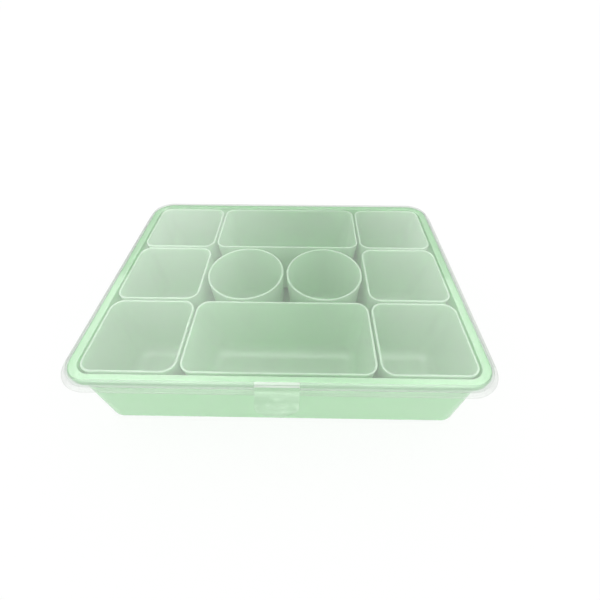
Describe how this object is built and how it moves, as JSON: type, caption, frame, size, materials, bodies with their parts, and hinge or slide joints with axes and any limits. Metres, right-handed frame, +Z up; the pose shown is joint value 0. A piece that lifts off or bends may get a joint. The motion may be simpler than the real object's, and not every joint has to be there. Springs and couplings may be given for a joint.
{
  "type": "divided food container",
  "caption": "Divided food container: a deep green tray holding loose square, long and round cups under a clear lid with a front pull tab.",
  "frame": {"origin": "centre of the tray's flat underside, which the container stands on", "axes": "+Z up towards the lid, +X along the longer side, -Y towards the pull tab at the front"},
  "size_m": [0.2802, 0.2217, 0.0636],
  "materials": {
    "tray_green": "pale green polypropylene, smooth and glossy",
    "cup_green": "pale green polypropylene, smooth outside, fine grain inside",
    "clear_lid": "clear glossy plastic"
  },
  "bodies": {
    "tray": {"tray": "tray_green"},
    "lid": {"lid": "clear_lid"},
    "cup_front_left": {"cup_front_left": "cup_green"},
    "cup_front_centre": {"cup_front_centre": "cup_green"},
    "cup_front_right": {"cup_front_right": "cup_green"},
    "cup_back_left": {"cup_back_left": "cup_green"},
    "cup_back_centre": {"cup_back_centre": "cup_green"},
    "cup_back_right": {"cup_back_right": "cup_green"},
    "cup_middle_left": {"cup_middle_left": "cup_green"},
    "cup_round_left": {"cup_round_left": "cup_green"},
    "cup_middle_right": {"cup_middle_right": "cup_green"},
    "cup_round_right": {"cup_round_right": "cup_green"}
  },
  "joints": [
    {"name": "lid_lift", "type": "slide", "parent": "tray", "child": "lid", "axis": [0, 0, 1], "range_m": [0, 0.15]},
    {"name": "cup_front_left_lift", "type": "slide", "parent": "tray", "child": "cup_front_left", "axis": [0, 0, 1], "range_m": [0, 0.075]},
    {"name": "cup_front_centre_lift", "type": "slide", "parent": "tray", "child": "cup_front_centre", "axis": [0, 0, 1], "range_m": [0, 0.075]},
    {"name": "cup_front_right_lift", "type": "slide", "parent": "tray", "child": "cup_front_right", "axis": [0, 0, 1], "range_m": [0, 0.075]},
    {"name": "cup_back_left_lift", "type": "slide", "parent": "tray", "child": "cup_back_left", "axis": [0, 0, 1], "range_m": [0, 0.075]},
    {"name": "cup_back_centre_lift", "type": "slide", "parent": "tray", "child": "cup_back_centre", "axis": [0, 0, 1], "range_m": [0, 0.075]},
    {"name": "cup_back_right_lift", "type": "slide", "parent": "tray", "child": "cup_back_right", "axis": [0, 0, 1], "range_m": [0, 0.075]},
    {"name": "cup_middle_left_lift", "type": "slide", "parent": "tray", "child": "cup_middle_left", "axis": [0, 0, 1], "range_m": [0, 0.075]},
    {"name": "cup_round_left_lift", "type": "slide", "parent": "tray", "child": "cup_round_left", "axis": [0, 0, 1], "range_m": [0, 0.075]},
    {"name": "cup_middle_right_lift", "type": "slide", "parent": "tray", "child": "cup_middle_right", "axis": [0, 0, 1], "range_m": [0, 0.075]},
    {"name": "cup_round_right_lift", "type": "slide", "parent": "tray", "child": "cup_round_right", "axis": [0, 0, 1], "range_m": [0, 0.075]}
  ],
  "couplings": [
    {"joint": "cup_front_left_lift", "follows": "lid_lift", "ratio": 0.5},
    {"joint": "cup_front_centre_lift", "follows": "lid_lift", "ratio": 0.5},
    {"joint": "cup_front_right_lift", "follows": "lid_lift", "ratio": 0.5},
    {"joint": "cup_back_left_lift", "follows": "lid_lift", "ratio": 0.5},
    {"joint": "cup_back_centre_lift", "follows": "lid_lift", "ratio": 0.5},
    {"joint": "cup_back_right_lift", "follows": "lid_lift", "ratio": 0.5},
    {"joint": "cup_middle_left_lift", "follows": "lid_lift", "ratio": 0.5},
    {"joint": "cup_round_left_lift", "follows": "lid_lift", "ratio": 0.5},
    {"joint": "cup_middle_right_lift", "follows": "lid_lift", "ratio": 0.5},
    {"joint": "cup_round_right_lift", "follows": "lid_lift", "ratio": 0.5}
  ]
}
